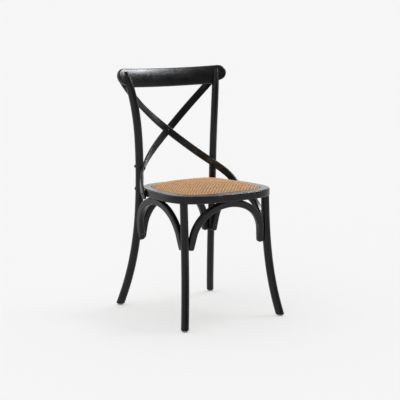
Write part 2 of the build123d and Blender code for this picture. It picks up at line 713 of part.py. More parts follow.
def main():
    os.makedirs("parts", exist_ok=True)
    nodes = {}
    cuts = {}

    def drill(fastener, *names):
        """Notes a fastener's hole for the pieces that it runs through."""
        for name in names:
            cuts.setdefault(name, []).append(fastener.bore())
        return fastener.body()

    # Limbs
    tip_heights = levels(POST_TAPER_Z, POST_TOP_Z, ROOM_SECTIONS)
    post = post_limb(levels(FOOT_Z, POST_TAPER_Z, POST_SECTIONS) + tip_heights[1:])
    post = fillet(post.faces().sort_by(Axis.Z)[0].edges(), FOOT_ROUND) - post_lap()
    post = post - glide_hole(post_centre)
    leg = leg_limb(levels(FOOT_Z, LEG_TOP_Z + LEG_LONG / 4, LEG_SECTIONS))
    leg = fillet(leg.faces().sort_by(Axis.Z)[0].edges(), FOOT_ROUND) - above_underside(GLUE_GAP)
    leg = leg + tenon() - glide_hole(leg_centre)
    nodes["rear_post_right"], nodes["rear_post_left"] = both_sides(post)
    nodes["front_leg_right"], nodes["front_leg_left"] = both_sides(leg)
    for end, centre in (("rear", post_centre), ("front", leg_centre)):
        nodes[f"glide_{end}_right"], nodes[f"glide_{end}_left"] = both_sides(glide(centre))

    # Back: the rail takes the tips of the posts in front and the ends of the braces behind
    brace = Brace()
    braces = both_sides(brace.body())
    post_tips = both_sides(post_limb(tip_heights[:-1] + [POST_TOP_Z + FIT], HOUSING_GAP) - post_lap(0.0))
    brace_tops = both_sides(brace.room(BRACE_AT_TOP, 3 * BRACE_WIDTH, HOUSING_GAP))
    nodes["top_rail"] = rail_body() - post_tips - brace_tops
    nodes["cross_brace_left"], nodes["cross_brace_right"] = braces
    cuts["cross_brace_left"] = [lap_notch(brace, True)]
    cuts["cross_brace_right"] = [lap_notch(brace, False)]
    housings = both_sides(brace.room(BRACE_AT_POST, 2 * BRACE_WIDTH, HOUSING_GAP))
    cuts["rear_post_left"], cuts["rear_post_right"] = [[housing] for housing in housings]

    # Seat
    edge = RABBET_INSET + PAD_GAP
    inner = edge + COVER_THICKNESS + PAD_GAP
    base = GLUE_GAP - RABBET_DEPTH
    board_top = base + BOARD_THICKNESS
    cover = seat_filling(edge, 0, base) - seat_filling(edge + COVER_THICKNESS, COVER_THICKNESS, base - 1)
    nodes["rattan_seat"] = SEAT_PLACE * cover
    nodes["seat_pad"] = SEAT_PLACE * seat_filling(inner, COVER_THICKNESS + PAD_GAP, board_top + GLUE_GAP)
    nodes["seat_board"] = SEAT_PLACE * seat_prism(inner, base, board_top)
    nodes["seat_ring"] = ring_body()
    ring_heights = levels(SEAT_Z - 2 * RING_HEIGHT, SEAT_Z + RING_HEIGHT, ROOM_SECTIONS)
    cuts["seat_ring"] = both_sides(post_limb(ring_heights, FIT)) + both_sides(tenon(FIT))
    cuts["seat_ring"] += both_sides(brace.room(BRACE_AT_SIDE, 3 * BRACE_WIDTH, GLUE_GAP))

    # Arches, scribed to the limbs and planed flat under the ring
    limb_rooms = {}
    lowest = SEAT_Z - max(ARCH_FRONT_DROP, ARCH_REAR_DROP) - ARCH_FACE
    end_heights = levels(lowest, SEAT_Z - RING_HEIGHT, ROOM_SECTIONS)
    limb_rooms["rear_post_right"], limb_rooms["rear_post_left"] = both_sides(post_limb(end_heights, FIT))
    limb_rooms["front_leg_right"], limb_rooms["front_leg_left"] = both_sides(leg_limb(end_heights, FIT))
    arch_limb_screws = []
    arch_ring_screws = []
    for name, arch in make_arches().items():
        nodes[name] = arch.body()
        cuts[name] = [above_underside(GLUE_GAP)]
        for limb_name, side in zip(ARCH_LIMBS[name], (1, -1)):
            cuts[name].append(limb_rooms[limb_name])
            arch_limb_screws.append(drill(arch.limb_screw(side), name, limb_name))
            arch_ring_screws.append(drill(arch.ring_screw(side), name, "seat_ring"))
    nodes["arch_limb_screws"] = Compound(arch_limb_screws)
    nodes["arch_ring_screws"] = Compound(arch_ring_screws)

    # Fasteners of the back and the seat
    sides = ("right", "left")
    bolt = post_bolt()
    nodes["post_bolts"] = Compound([drill(each, f"rear_post_{side}", "seat_ring")
                                    for each, side in zip((bolt, bolt.other_side()), sides)])
    nodes["barrel_nuts"] = Compound(both_sides(barrel_nut(bolt)))
    cuts["seat_ring"] += both_sides(barrel_nut(bolt, FIT))
    bolt = brace_bolt()
    nodes["brace_bolts"] = Compound([drill(each, f"rear_post_{side}", f"cross_brace_{side}")
                                     for each, side in zip((bolt, bolt.other_side()), sides)])
    nodes["cap_nuts"] = Compound(both_sides(cap_nut()))
    for side, seat in zip(sides, both_sides(cap_nut_seat())):
        cuts[f"rear_post_{side}"].append(seat)
    bolt = rail_screw()
    nodes["rail_screws"] = Compound([drill(each, f"rear_post_{side}", "top_rail")
                                     for each, side in zip((bolt, bolt.other_side()), sides)])
    upper = []
    for each in brace_rail_screws(brace):
        upper.append(drill(each, "cross_brace_left", "top_rail"))
        upper.append(drill(each.other_side(), "cross_brace_right", "top_rail"))
    nodes["brace_rail_screws"] = Compound(upper)
    foot = brace_foot_screw(brace)
    nodes["brace_foot_screws"] = Compound([drill(foot, "cross_brace_left", "seat_ring"),
                                           drill(foot.other_side(), "cross_brace_right", "seat_ring")])
    rivet, tail = [Fastener(CROSS_PLACE + facing * RIVET_HALF, facing * -1, RIVET_HALF, driven=False)
                   for facing in (CROSS_FACING.normalized(), CROSS_FACING.normalized() * -1)]
    nodes["cross_rivet"] = drill(rivet, "cross_brace_left", "cross_brace_right")
    nodes["cross_rivet"] += drill(tail, "cross_brace_left", "cross_brace_right")
    nodes["board_screws"] = Compound([drill(each, "seat_ring", "seat_board") for each in board_screws()])

    for name, cutters in cuts.items():
        nodes[name] = nodes[name] - cutters
    for name, shape in nodes.items():
        export_step(shape, f"parts/{name}.step")


if __name__ == "__main__":
    main()
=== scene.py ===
from math import atan2, cos, pi, radians, sin
import random

import bpy
from mathutils import Matrix, Vector
from mathutils.bvhtree import BVHTree


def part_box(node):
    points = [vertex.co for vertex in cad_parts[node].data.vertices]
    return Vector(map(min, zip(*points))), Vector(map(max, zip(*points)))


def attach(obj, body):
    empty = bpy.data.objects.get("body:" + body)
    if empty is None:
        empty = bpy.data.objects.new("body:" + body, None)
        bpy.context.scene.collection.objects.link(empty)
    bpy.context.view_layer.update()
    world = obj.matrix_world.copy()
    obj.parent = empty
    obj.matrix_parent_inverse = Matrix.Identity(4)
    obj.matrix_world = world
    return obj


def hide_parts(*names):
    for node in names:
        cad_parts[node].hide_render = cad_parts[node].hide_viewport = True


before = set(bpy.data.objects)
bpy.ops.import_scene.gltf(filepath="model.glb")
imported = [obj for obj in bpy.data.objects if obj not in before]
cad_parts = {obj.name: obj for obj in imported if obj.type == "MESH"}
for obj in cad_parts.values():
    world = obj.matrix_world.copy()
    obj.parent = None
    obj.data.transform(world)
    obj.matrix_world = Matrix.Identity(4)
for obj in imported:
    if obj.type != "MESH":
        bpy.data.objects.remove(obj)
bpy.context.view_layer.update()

bl_info = {
    "name": "Cross-back dining chair",
    "version": (1, 0, 0),
    "blender": (4, 5, 0),
    "location": "3D View > Sidebar > Chair",
    "description": "Paints a bentwood dining chair and weaves its rattan seat",
    "category": "Object",
}

# The plane of the seat: its height in the middle, its fall to the back, and where its outline is centred
SEAT_LEVEL = 0.461
SEAT_FALL = radians(1.1)
SEAT_MIDDLE = Vector((0.0, -0.030, 0.0))
SEAT_PLACE = Matrix.Translation((0.0, 0.0, SEAT_LEVEL)) @ Matrix.Rotation(-SEAT_FALL, 4, "X")

# How far the weave rises over the ring, and how full the shoulders of its crown are
CROWN_RISE = 0.024
CROWN_POWER = 2.8

# Where the grain of the bent arches turns about, above the floor, and the radii that the grain is bent to
ARCH_TURN_Z = 0.30
ARCH_BEND = 0.15
RING_BEND = 0.2

# The ways that the flat faces of the rail and of the braces look
RAIL_FACE = (0.0, -0.97, 0.24)
BRACE_FACE = (0.0, -0.96, 0.28)

# The photograph's camera: where it looks, from which side and how far, and its lens on a square frame
VIEW_TARGET = Vector((0.0, 0.0076, 0.408))
VIEW_AZIMUTH = radians(-33.46)
VIEW_ELEVATION = radians(9.80)
VIEW_ROLL = radians(0.214)
VIEW_DISTANCE = 4.627
VIEW_LENS = 115.02
VIEW_SENSOR = 36.0
VIEW_SHIFT = 0.00536
VIEW_END = 200.0

# The way from the chair to the key lamp: from the right and high up, so that shadows fall to the left
KEY_WAY = Vector((0.42, -0.06, 0.90))

# The way from the chair to the dark part of the room in front
DARK_WAY = Vector((0.25, -0.85, 0.46))

# The way from the chair to the bright card that shines in the top rail, and the card's size and tint
CARD_WAY = Vector((0.65, -0.30, 0.70))
CARD_SIZE = 0.8
CARD_TINT = (0.93, 0.96, 1.0)
LAMP_DISTANCE = 3.5

# Where the room's light passes from the walls to the back, from there to the sky, and into the dark part
BACK_SPAN = (0.2, 0.8)
SKY_SPAN = (0.25, 0.75)
DARK_SPAN = (0.60, 0.92)

FLOOR_REACH = 400.0

# The least and the greatest roughness of each finish
PAINT_GLOSS = (0.23, 0.30)
BLACK_STEEL_GLOSS = (0.26, 0.42)
ZINC_GLOSS = (0.28, 0.45)
NYLON_GLOSS = (0.45, 0.62)
RATTAN_GLOSS = (0.48, 0.62)
PLYWOOD_GLOSS = (0.6, 0.75)
FELT_ROUGHNESS = 0.95

# How much rougher rubbed paint is, and how much paler the paint is over the streaks of the grain
WORN_ROUGHNESS = 0.2
STREAK_GAIN = 1.9

# How strongly the paint and the rattan mirror
PAINT_SPECULAR = 0.26
RATTAN_SPECULAR = 0.35

# Colours of the finishes that have no settings
BLACK_STEEL = (0.028, 0.028, 0.030)
SCUFFED_STEEL = (0.22, 0.215, 0.21)
ZINC_BLUE = (0.50, 0.50, 0.52)
ZINC_GREY = (0.64, 0.63, 0.60)
NYLON = (0.55, 0.54, 0.51)
SCUFFED_NYLON = (0.36, 0.35, 0.33)
FELT_DARK = (0.30, 0.19, 0.095)
FELT_LIGHT = (0.40, 0.27, 0.14)
PLYWOOD_LIGHT = (0.60, 0.44, 0.27)
PLYWOOD_DARK = (0.42, 0.28, 0.15)

# Nodes of the chair by finish
UPRIGHTS = ("rear_post_right", "rear_post_left", "front_leg_right", "front_leg_left")
GLIDES = ("glide_rear_right", "glide_rear_left", "glide_front_right", "glide_front_left")
BLACK_HARDWARE = ("post_bolts", "brace_bolts", "cap_nuts", "rail_screws", "brace_rail_screws",
                  "brace_foot_screws", "cross_rivet", "arch_limb_screws")
ZINC_HARDWARE = ("arch_ring_screws", "board_screws", "barrel_nuts")


class ChairPaint(bpy.types.PropertyGroup):
    """The black finish of the bent wood."""

    colour: bpy.props.FloatVectorProperty(
        name="Paint", description="Colour of the satin paint", subtype="COLOR", size=3,
        min=0.0, max=1.0, default=(0.0068, 0.0068, 0.0072))
    worn: bpy.props.FloatVectorProperty(
        name="Rubbed edge", description="Colour where the paint is rubbed thin along an edge",
        subtype="COLOR", size=3, min=0.0, max=1.0, default=(0.085, 0.072, 0.060))
    wear: bpy.props.FloatProperty(
        name="Wear", description="How far the edges are rubbed through", subtype="FACTOR",
        min=0.0, max=1.0, default=0.55)
    pore_depth: bpy.props.FloatProperty(
        name="Pore depth", description="Depth of the open grain under the paint", unit="LENGTH",
        min=0.0, max=0.002, default=0.00022)


class ChairWeave(bpy.types.PropertyGroup):
    """The rattan splints of the seat."""

    pitch: bpy.props.FloatProperty(
        name="Pitch", description="Distance from one splint to the next", unit="LENGTH",
        min=0.002, max=0.01, default=0.0034)
    cover: bpy.props.FloatProperty(
        name="Cover", description="Share of the pitch that a splint is wide", subtype="FACTOR",
        min=0.5, max=1.0, default=0.92)
    thickness: bpy.props.FloatProperty(
        name="Thickness", description="Thickness of a splint", unit="LENGTH",
        min=0.0005, max=0.003, default=0.0010)
    lift: bpy.props.FloatProperty(
        name="Lift", description="How far a splint rises and falls where it crosses others", unit="LENGTH",
        min=0.0, max=0.003, default=0.00085)
    light: bpy.props.FloatVectorProperty(
        name="Light splint", description="Colour of the palest splints", subtype="COLOR", size=3,
        min=0.0, max=1.0, default=(1.0, 0.62, 0.315))
    dark: bpy.props.FloatVectorProperty(
        name="Dark splint", description="Colour of the darkest splints", subtype="COLOR", size=3,
        min=0.0, max=1.0, default=(0.62, 0.325, 0.14))


class ChairStage(bpy.types.PropertyGroup):
    """The floor, the light and the backdrop round the chair."""

    sky: bpy.props.FloatProperty(
        name="Sky", description="Strength of the light from above", min=0.0, max=2.0, default=1.24)
    walls: bpy.props.FloatProperty(
        name="Walls", description="Strength of the light from the sides", min=0.0, max=2.0, default=0.92)
    back: bpy.props.FloatProperty(
        name="Back", description="Strength of the light from low at the back", min=0.0, max=2.0, default=1.7)
    front: bpy.props.FloatProperty(
        name="Front", description="Share of the light that comes from the dark part in front",
        subtype="FACTOR", min=0.0, max=1.0, default=0.08)
    key: bpy.props.FloatProperty(
        name="Key", description="Strength of the soft lamp on the right", min=0.0, max=10.0, default=0.40)
    key_spread: bpy.props.FloatProperty(
        name="Key spread", description="How wide the soft lamp looks from the chair", subtype="ANGLE",
        min=0.0, max=radians(90), default=radians(16))
    card: bpy.props.FloatProperty(
        name="Card", description="Power of the bright card that shines in the paint", unit="POWER",
        min=0.0, max=1000.0, default=175.0)
    floor: bpy.props.FloatVectorProperty(
        name="Floor", description="Colour of the floor", subtype="COLOR", size=3,
        min=0.0, max=1.0, default=(0.96, 0.96, 0.96))
    shadow: bpy.props.FloatProperty(
        name="Shadow", description="How much of the shadow the floor shows", subtype="FACTOR",
        min=0.0, max=1.0, default=0.5)


def add(tree, kind, options=None, inputs=None):
    """Adds a node to a tree, sets its options, and sets or links its inputs."""
    made = tree.nodes.new(kind)
    for name, value in (options or {}).items():
        setattr(made, name, value)
    for name, value in (inputs or {}).items():
        if isinstance(value, bpy.types.NodeSocket):
            tree.links.new(value, made.inputs[name])
        else:
            made.inputs[name].default_value = value
    return made


def maths(tree, operation, first, second=0.0, third=0.0):
    """The result of one piece of arithmetic on sockets or numbers."""
    made = add(tree, "ShaderNodeMath", {"operation": operation}, {0: first, 1: second, 2: third})
    return made.outputs[0]


def vectors(tree, operation, first, second=(0.0, 0.0, 0.0)):
    """The outputs of one piece of arithmetic on places or ways: a vector and a value."""
    return add(tree, "ShaderNodeVectorMath", {"operation": operation}, {0: first, 1: second}).outputs


def ramp(tree, value, low, high, start=0.0, end=1.0):
    """A value mapped smoothly from one span to another and held at its ends."""
    made = add(tree, "ShaderNodeMapRange", {"interpolation_type": "SMOOTHSTEP"},
               {"Value": value, "From Min": low, "From Max": high, "To Min": start, "To Max": end})
    return made.outputs["Result"]


def noise(tree, place, scale, detail, roughness=0.5):
    """A cloudy value that varies from place to place."""
    made = add(tree, "ShaderNodeTexNoise", None,
               {"Vector": place, "Scale": scale, "Detail": detail, "Roughness": roughness})
    return made.outputs[0]


def blend_colours(tree, share, first, second):
    """A mix of two colours, each a socket or a plain colour."""
    made = add(tree, "ShaderNodeMix", {"data_type": "RGBA"})
    for index, value in ((0, share), (6, first), (7, second)):
        if isinstance(value, bpy.types.NodeSocket):
            tree.links.new(value, made.inputs[index])
        else:
            made.inputs[index].default_value = (*value, 1.0)
    return made.outputs[2]


def new_group(name, inputs, outputs):
    """An empty shader group with its sockets, and its two end nodes."""
    tree = bpy.data.node_groups.new(name, "ShaderNodeTree")
    for label, kind, default in inputs:
        socket = tree.interface.new_socket(label, in_out="INPUT", socket_type=kind)
        if default is not None:
            socket.default_value = default
    for label, kind in outputs:
        tree.interface.new_socket(label, in_out="OUTPUT", socket_type=kind)
    return tree, tree.nodes.new("NodeGroupInput").outputs, tree.nodes.new("NodeGroupOutput").inputs


def grouped(build):
    """The group that a function builds, made once and then shared."""
    tree = bpy.data.node_groups.get(build.__name__)
    return tree or build(build.__name__)


def use_group(tree, build, inputs):
    """Places a shared group in a material with its own values, and gives its outputs."""
    return add(tree, "ShaderNodeGroup", {"node_tree": grouped(build)}, inputs).outputs


def bent_grain(name):
    """Turns places round a bend, seen along Z, into runs along the grain and across it."""
    inputs = [("Place", "NodeSocketVector", None), ("Radius", "NodeSocketFloat", ARCH_BEND)]
    tree, given, out = new_group(name, inputs, [("Place", "NodeSocketVector")])
    parts = add(tree, "ShaderNodeSeparateXYZ", None, {"Vector": given["Place"]}).outputs
    turn = maths(tree, "ARCTAN2", parts["Y"], parts["X"])
    along = maths(tree, "MULTIPLY", turn, given["Radius"])
    flat = add(tree, "ShaderNodeCombineXYZ", None, {"X": parts["X"], "Y": parts["Y"]}).outputs[0]
    away = vectors(tree, "LENGTH", flat)["Value"]
    joined = add(tree, "ShaderNodeCombineXYZ", None, {"X": along, "Y": away, "Z": parts["Z"]}).outputs[0]
    tree.links.new(joined, out["Place"])
    return tree


def open_grain(name):
    """Long fine pores along X: their depth, and broad streaks of a slightly other tone."""
    inputs = [("Place", "NodeSocketVector", None), ("Fineness", "NodeSocketFloat", 1.0)]
    outputs = [("Pores", "NodeSocketFloat"), ("Streaks", "NodeSocketFloat")]
    tree, given, out = new_group(name, inputs, outputs)
    fine = vectors(tree, "MULTIPLY", given["Place"], (30.0, 800.0, 800.0))["Vector"]
    broad = vectors(tree, "MULTIPLY", given["Place"], (5.0, 90.0, 90.0))["Vector"]
    pores = noise(tree, fine, scale=given["Fineness"], detail=3.0, roughness=0.55)
    streaks = noise(tree, broad, scale=given["Fineness"], detail=4.0, roughness=0.6)
    tree.links.new(ramp(tree, pores, low=0.36, high=0.52), out["Pores"])
    tree.links.new(streaks, out["Streaks"])
    return tree


def rubbed_edges(name):
    """Where a piece is rounded off between its flat face and its sides, broken up as by handling."""
    inputs = [("Place", "NodeSocketVector", None), ("Face", "NodeSocketVector", (0, 0, 1)),
              ("Wear", "NodeSocketFloat", 0.5)]
    tree, given, out = new_group(name, inputs, [("Mask", "NodeSocketFloat")])
    normal = add(tree, "ShaderNodeNewGeometry").outputs["Normal"]
    lean = maths(tree, "ABSOLUTE", vectors(tree, "DOT_PRODUCT", normal, given["Face"])["Value"])
    rise = ramp(tree, lean, low=0.30, high=0.58)
    fall = ramp(tree, lean, low=0.72, high=0.95, start=1.0, end=0.0)
    patches = noise(tree, given["Place"], scale=34.0, detail=5.0, roughness=0.65)
    patches = ramp(tree, patches, low=0.42, high=0.66)
    edge = maths(tree, "MULTIPLY", rise, fall)
    worn = maths(tree, "MULTIPLY", maths(tree, "MULTIPLY", edge, patches), given["Wear"])
    tree.links.new(worn, out["Mask"])
    return tree


def handling(name):
    """Uneven gloss from brushing and hands, between two roughnesses."""
    inputs = [("Place", "NodeSocketVector", None), ("Smooth", "NodeSocketFloat", 0.3),
              ("Dull", "NodeSocketFloat", 0.5)]
    tree, given, out = new_group(name, inputs, [("Roughness", "NodeSocketFloat")])
    clouds = noise(tree, given["Place"], scale=11.0, detail=6.0, roughness=0.6)
    share = ramp(tree, clouds, low=0.3, high=0.7)
    span = maths(tree, "SUBTRACT", given["Dull"], given["Smooth"])
    tree.links.new(maths(tree, "MULTIPLY_ADD", share, span, given["Smooth"]), out["Roughness"])
    return tree


def new_material(name):
    """An empty material: its tree, its Principled shader and the chair's own coordinates."""
    material = bpy.data.materials.new(name)
    material.use_nodes = True
    tree = material.node_tree
    tree.nodes.clear()
    shader = add(tree, "ShaderNodeBsdfPrincipled")
    add(tree, "ShaderNodeOutputMaterial", None, {"Surface": shader.outputs[0]})
    place = add(tree, "ShaderNodeTexCoord").outputs["Object"]
    return material, tree, shader, place


def uneven_gloss(tree, place, gloss):
    """A roughness that wanders between the two values of a finish."""
    smooth, dull = gloss
    return use_group(tree, handling, {"Place": place, "Smooth": smooth, "Dull": dull})["Roughness"]


def bump(tree, shader, height, distance, strength):
    """Raises a material's surface by a height map."""
    made = add(tree, "ShaderNodeBump", None, {"Height": height, "Distance": distance, "Strength": strength})
    tree.links.new(made.outputs[0], shader.inputs["Normal"])


def black_wood(name, paint, face, turn=(0.0, 0.0, 0.0), shift=(0.0, 0.0, 0.0), bend=0.0):
    """Satin black paint over grain that runs along X of the shifted and turned place, or round a bend."""
    material, tree, shader, place = new_material(name)
    moved = vectors(tree, "SUBTRACT", place, shift)["Vector"]
    grain = add(tree, "ShaderNodeMapping", None, {"Vector": moved, "Rotation": turn}).outputs[0]
    if bend:
        grain = use_group(tree, bent_grain, {"Place": grain, "Radius": bend})["Place"]
    lines = use_group(tree, open_grain, {"Place": grain, "Fineness": 1.0})
    worn = use_group(tree, rubbed_edges, {"Place": place, "Face": face, "Wear": paint.wear})["Mask"]
    gloss = uneven_gloss(tree, place, PAINT_GLOSS)
    pale = [STREAK_GAIN * channel for channel in paint.colour]
    coat = blend_colours(tree, ramp(tree, lines["Streaks"], low=0.42, high=0.72), paint.colour, pale)
    tree.links.new(blend_colours(tree, worn, coat, paint.worn), shader.inputs["Base Color"])
    tree.links.new(maths(tree, "MULTIPLY_ADD", worn, WORN_ROUGHNESS, gloss), shader.inputs["Roughness"])
    shader.inputs["Specular IOR Level"].default_value = PAINT_SPECULAR
    bump(tree, shader, lines["Pores"], distance=paint.pore_depth, strength=0.25)
    return material


def dress(nodes, material):
    """Gives a material to CAD nodes."""
    for name in nodes:
        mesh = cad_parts[name].data
        mesh.materials.clear()
        mesh.materials.append(material)


class CHAIR_OT_paint_wood(bpy.types.Operator):
    """Paint the limbs, the rail, the braces, the ring and the arches black over their grain"""

    bl_idname = "chair.paint_wood"
    bl_label = "Paint the wood"

    def execute(self, context):
        paint = context.scene.chair_paint
        upright = (0.0, radians(90), 0.0)
        dress(UPRIGHTS, black_wood("black limbs", paint, (0.0, 0.0, 1.0), upright))
        dress(["top_rail"], black_wood("black rail", paint, RAIL_FACE))
        for side, sign in (("left", 1), ("right", -1)):
            low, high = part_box(f"cross_brace_{side}")
            climb = atan2(high[2] - low[2], high[0] - low[0])
            brace = black_wood(f"black brace {side}", paint, BRACE_FACE, (0.0, sign * climb, 0.0))
            dress([f"cross_brace_{side}"], brace)
        ring = black_wood("black ring", paint, (0.0, 0.0, 1.0), shift=SEAT_MIDDLE, bend=RING_BEND)
        dress(["seat_ring"], ring)
        middle = (0.0, 0.0, ARCH_TURN_Z)
        across = black_wood("black cross arches", paint, (0.0, 1.0, 0.0), (radians(-90), 0.0, 0.0), middle,
                            ARCH_BEND)
        along = black_wood("black side arches", paint, (1.0, 0.0, 0.0), upright, middle, ARCH_BEND)
        dress(["arch_front", "arch_rear"], across)
        dress(["arch_right", "arch_left"], along)
        return {"FINISHED"}


def painted_steel():
    """Black painted screw and bolt heads with bare scuffs."""
    material, tree, shader, place = new_material("black hardware")
    scuffs = noise(tree, place, scale=420.0, detail=4.0, roughness=0.7)
    scuffs = ramp(tree, scuffs, low=0.56, high=0.68)
    colour = blend_colours(tree, scuffs, BLACK_STEEL, SCUFFED_STEEL)
    tree.links.new(colour, shader.inputs["Base Color"])
    tree.links.new(scuffs, shader.inputs["Metallic"])
    tree.links.new(uneven_gloss(tree, place, BLACK_STEEL_GLOSS), shader.inputs["Roughness"])
    bump(tree, shader, scuffs, distance=0.00005, strength=0.4)
    return material


def zinc_steel():
    """Bright zinc plate with faint clouds."""
    material, tree, shader, place = new_material("zinc hardware")
    clouds = noise(tree, place, scale=160.0, detail=3.0)
    colour = blend_colours(tree, ramp(tree, clouds, low=0.35, high=0.7), ZINC_BLUE, ZINC_GREY)
    tree.links.new(colour, shader.inputs["Base Color"])
    tree.links.new(uneven_gloss(tree, place, ZINC_GLOSS), shader.inputs["Roughness"])
    shader.inputs["Metallic"].default_value = 1.0
    return material


class CHAIR_OT_finish_hardware(bpy.types.Operator):
    """Give the screws, bolts and nuts their black or zinc finish"""

    bl_idname = "chair.finish_hardware"
    bl_label = "Finish the hardware"

    def execute(self, context):
        dress(BLACK_HARDWARE, painted_steel())
        dress(ZINC_HARDWARE, zinc_steel())
        return {"FINISHED"}


def nylon():
    """Pale moulded nylon with a fine matt texture, scuffed where it slides."""
    material, tree, shader, place = new_material("glide nylon")
    grit = noise(tree, place, scale=900.0, detail=2.0)
    height = add(tree, "ShaderNodeSeparateXYZ", None, {"Vector": place}).outputs["Z"]
    sole = ramp(tree, height, low=0.0, high=0.003, start=1.0, end=0.0)
    scuffed = maths(tree, "MULTIPLY", sole, ramp(tree, grit, low=0.4, high=0.6))
    colour = blend_colours(tree, scuffed, NYLON, SCUFFED_NYLON)
    tree.links.new(colour, shader.inputs["Base Color"])
    tree.links.new(uneven_gloss(tree, place, NYLON_GLOSS), shader.inputs["Roughness"])
    bump(tree, shader, grit, distance=0.00008, strength=0.3)
    return material


class CHAIR_OT_finish_feet(bpy.types.Operator):
    """Give the glides under the feet their nylon"""

    bl_idname = "chair.finish_feet"
    bl_label = "Finish the feet"

    def execute(self, context):
        dress(GLIDES, nylon())
        return {"FINISHED"}


class SeatSkin:
    """The crowned top of the seat, in the seat's own plane."""

    # How many ways the edge is felt for, from how far outside, and how deep below the plane of the seat
    STEPS = 180
    OUTSIDE = 0.5
    DEPTH = 0.004

    def __init__(self):
        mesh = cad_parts["rattan_seat"].data
        inward = SEAT_PLACE.inverted()
        points = [inward @ vertex.co for vertex in mesh.vertices]
        skin = BVHTree.FromPolygons(points, [polygon.vertices[:] for polygon in mesh.polygons])
        start = SEAT_MIDDLE - Vector((0.0, 0.0, self.DEPTH))
        self.reach = []
        for step in range(self.STEPS):
            turn = 2 * pi * step / self.STEPS
            way = Vector((cos(turn), sin(turn), 0.0))
            distance = skin.ray_cast(start + way * self.OUTSIDE, -way)[3]
            self.reach.append(self.OUTSIDE - distance)

    def share(self, x, y):
        """How far a place lies from the middle of the seat to its edge, from 0 to 1."""
        away = Vector((x, y)) - SEAT_MIDDLE.xy
        turn = atan2(away.y, away.x) / (2 * pi) % 1.0 * self.STEPS
        step = int(turn)
        part = turn - step
        edge = self.reach[step % self.STEPS] * (1 - part) + self.reach[(step + 1) % self.STEPS] * part
        return away.length / edge

    def point(self, x, y, lift):
        """The place on the crown at a spot of the seat plane, lifted off it."""
        share = min(self.share(x, y), 1.0)
        return SEAT_PLACE @ Vector((x, y, CROWN_RISE * (1 - share ** CROWN_POWER) + lift))


class Weave:
    """Splints that run across each other in a two over, two under twill, gathered into one mesh."""

    # How near to the edge the splints come, as a share, and how deep and how far out their ends are tucked
    INSET = 0.988
    TUCK = 0.008
    TUCK_LEAN = 0.0004

    # Numbers of the splints from side to side, more than the seat holds
    NUMBERS = range(-90, 91)

    # How often a splint's end is narrowed down, and the least that it runs past its last crossing
    HALVINGS = 12
    LEAST_END = 0.0003

    SEED = 7

    def __init__(self, settings):
        self.pitch = settings.pitch
        self.half = settings.pitch * settings.cover / 2
        self.thickness = settings.thickness
        self.lift = settings.lift
        self.skin = SeatSkin()
        self.points = []
        self.faces = []
        self.runs = []
        self.tones_and_shade = []
        self.random = random.Random(self.SEED)

    def over(self, row, column):
        """Whether the splint of a row lies over the splint of a column, else under it."""
        return (row - column) % 4 < 2

    def splint(self, index, across):
        """One splint along X, or one along Y if across that is painted darker as painted shade, its ends
        tucked into the ring's groove.
        """

        def spot(along, aside):
            return (aside, along) if across else (along, aside)

        def inside(step):
            return self.skin.share(*spot(step * self.pitch, middle)) < self.INSET

        middle = index * self.pitch
        steps = [step for step in self.NUMBERS if inside(step)]
        if len(steps) < 2:
            return
        # Each splint's tone is random, and the splints across are pushed half way towards the dark colour as
        # painted shade, standing in for the shading between the floats of the two directions
        tone_and_shade = (self.random.random() + across) / 2
        flat = -self.lift - self.thickness / 2
        rows = []
        for step in steps:
            above = self.over(index, step) if not across else not self.over(step, index)
            rows.append((step * self.pitch, flat + self.lift if above else flat - self.lift))
        for order in (-1, 1):
            end = self.edge(rows[0 if order < 0 else -1][0], order, middle, spot)
            tail = [(end, flat), (end + order * self.TUCK_LEAN, flat - self.TUCK)]
            rows = tail[::-1] + rows if order < 0 else rows + tail
        self.ribbon(rows, middle, spot, tone_and_shade)

    def edge(self, start, order, middle, spot):
        """Where a splint meets the edge of the panel beyond its last crossing."""
        low, high = 0.0, 2 * self.pitch
        for _ in range(self.HALVINGS):
            reach = (low + high) / 2
            if self.skin.share(*spot(start + order * reach, middle)) < self.INSET:
                low = reach
            else:
                high = reach
        return start + order * max(low, self.LEAST_END)

    def ribbon(self, rows, middle, spot, tone_and_shade):
        """Adds the flat four-sided body of a splint through its rows of places and lifts."""
        base = len(self.points)
        crest = self.thickness / 2
        profile = ((-self.half, 0.0), (0.0, crest), (self.half, 0.0), (0.0, -crest))
        for along, rise in rows:
            for aside, swell in profile:
                self.points.append(self.skin.point(*spot(along, middle + aside), rise + swell))
        count = len(profile)
        mirrored = spot(1, 0) != (1, 0)
        for row in range(len(rows) - 1):
            for side in range(count):
                low = base + row * count + side
                nearby = base + row * count + (side + 1) % count
                face = (low, nearby, nearby + count, low + count)
                self.faces.append(face if mirrored else face[::-1])
                start, stop = rows[row][0], rows[row + 1][0]
                run = [(start, side), (start, side + 1), (stop, side + 1), (stop, side)]
                self.runs.extend(run if mirrored else run[::-1])
                self.tones_and_shade.append(tone_and_shade)
        last = base + (len(rows) - 1) * count
        caps = [tuple(range(base, base + count)), tuple(range(last, last + count))[::-1]]
        for cap in caps:
            self.faces.append(cap[::-1] if mirrored else cap)
            self.runs.extend([(rows[0][0], side) for side in range(count)])
            self.tones_and_shade.append(tone_and_shade)

    def build(self):
        """The woven panel as one object."""
        for index in self.NUMBERS:
            for across in (False, True):
                self.splint(index, across)
        mesh = bpy.data.meshes.new("rattan_weave")
        mesh.from_pydata(self.points, [], self.faces)
        layer = mesh.uv_layers.new(name="splint")
        layer.data.foreach_set("uv", [number for pair in self.runs for number in pair])
        # This attribute carries each splint's random tone together with the painted shade on the splints
        # across
        tone_and_shade = mesh.attributes.new("tone_and_shade", "FLOAT", "FACE")
        tone_and_shade.data.foreach_set("value", self.tones_and_shade)
        mesh.shade_smooth()
        piece = bpy.data.objects.new("rattan_weave", mesh)
        bpy.context.scene.collection.objects.link(piece)
        return piece


